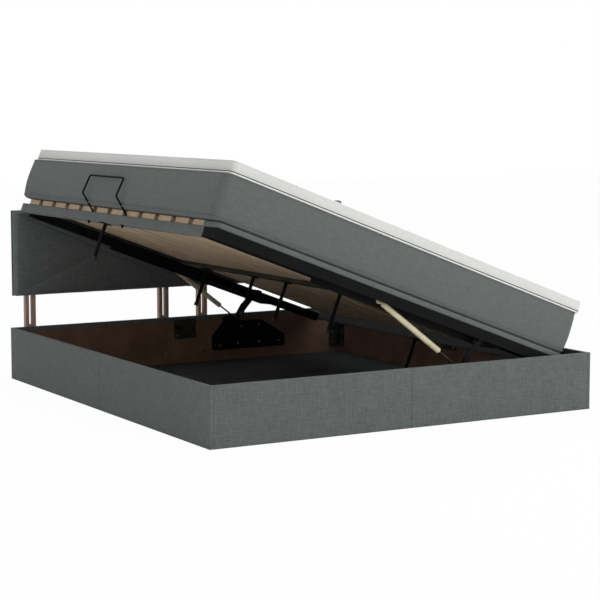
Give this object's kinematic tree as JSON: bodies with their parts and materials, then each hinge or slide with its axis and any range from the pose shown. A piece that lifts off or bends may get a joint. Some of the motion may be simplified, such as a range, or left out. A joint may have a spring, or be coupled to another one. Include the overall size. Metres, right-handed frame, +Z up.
{
  "type": "storage bed",
  "caption": "Storage bed with a low box, a padded headboard on slotted legs and a mattress deck that lifts at one long side on a linkage with gas struts.",
  "frame": {"origin": "centre of the box on the floor", "axes": "+Z up, +Y towards the headboard, +X towards the hinge side, -X towards the side that lifts"},
  "size_m": [1.8425, 2.0935, 1.0885],
  "materials": {
    "bed_fabric": "matte",
    "board": "matte",
    "leg_wood": "matte",
    "back_board": "matte",
    "floor_board": "matte",
    "zinc_steel": "satin",
    "slat_wood": "satin",
    "mattress_fabric": "matte",
    "topper_fabric": "matte",
    "cylinder_paint": "satin",
    "rod_steel": "polished",
    "foot_plastic": "matte",
    "black_steel": "satin"
  },
  "bodies": {
    "base": {"foot_boards": "board", "head_boards": "board", "lift_side_boards": "board", "hinge_side_boards": "board", "foot_cover_left": "bed_fabric", "foot_cover_right": "bed_fabric", "head_cover_left": "bed_fabric", "head_cover_right": "bed_fabric", "lift_side_cover_front": "bed_fabric", "lift_side_cover_rear": "bed_fabric", "hinge_side_cover_front": "bed_fabric", "hinge_side_cover_rear": "bed_fabric", "floor_battens": "leg_wood", "floor_panels": "floor_board", "corner_brackets": "zinc_steel", "joining_plates": "zinc_steel", "headboard_legs": "leg_wood", "headboard_pad_left": "bed_fabric", "headboard_pad_right": "bed_fabric", "headboard_back_left": "back_board", "headboard_back_right": "back_board", "box_leg_bolts": "zinc_steel", "headboard_bolts": "zinc_steel", "base_plates": "black_steel", "base_pivots": "black_steel"},
    "main_arms": {"main_arms": "black_steel"},
    "deck": {"lift_rail": "bed_fabric", "hinge_rail": "bed_fabric", "head_rail": "black_steel", "foot_apron": "black_steel", "foot_angle": "black_steel", "foot_apron_left": "black_steel", "foot_apron_right": "black_steel", "foot_bearer": "black_steel", "foot_edge_board": "bed_fabric", "middle_beam": "black_steel", "lift_side_slats": "slat_wood", "hinge_side_slats": "slat_wood", "deck_plates": "black_steel", "deck_pivots": "black_steel", "support_legs": "black_steel", "support_feet": "foot_plastic", "retainer_rod": "black_steel", "retainer_clips": "black_steel", "mattress": "mattress_fabric", "topper": "topper_fabric"},
    "guide_arms": {"guide_arms": "black_steel"},
    "strut_cylinders": {"strut_cylinders": "cylinder_paint"},
    "strut_rods": {"strut_rods": "rod_steel"}
  },
  "joints": [
    {"name": "arm_swing", "type": "hinge", "parent": "base", "child": "main_arms", "pos_m": [0.17655, 0, 0.08998], "axis": [0, 1, 0], "range_deg": [-0.01, 37.66]},
    {"name": "deck_lift", "type": "hinge", "parent": "main_arms", "child": "deck", "pos_m": [0.35997, 0, 0.31905], "axis": [0, 1, 0], "range_deg": [-58.25, 0]},
    {"name": "guide_swing", "type": "hinge", "parent": "base", "child": "guide_arms", "pos_m": [0.23095, 0, 0.15797], "axis": [0, 1, 0], "range_deg": [-0.01, 41.6]},
    {"name": "strut_swing", "type": "hinge", "parent": "deck", "child": "strut_cylinders", "pos_m": [-0.11704, 0, 0.51597], "axis": [0, 1, 0], "range_deg": [-11.04, 0.01]},
    {"name": "strut_slide", "type": "slide", "parent": "strut_cylinders", "child": "strut_rods", "axis": [0.7936, 0, -0.6084], "range_m": [-0.10127, 0]}
  ],
  "couplings": [
    {"joint": "arm_swing", "follows": "deck_lift", "ratio": -0.64636},
    {"joint": "guide_swing", "follows": "deck_lift", "ratio": -0.71402},
    {"joint": "strut_swing", "follows": "deck_lift", "ratio": 0.18926},
    {"joint": "strut_slide", "follows": "deck_lift", "m_per_rad": 0.099416}
  ]
}
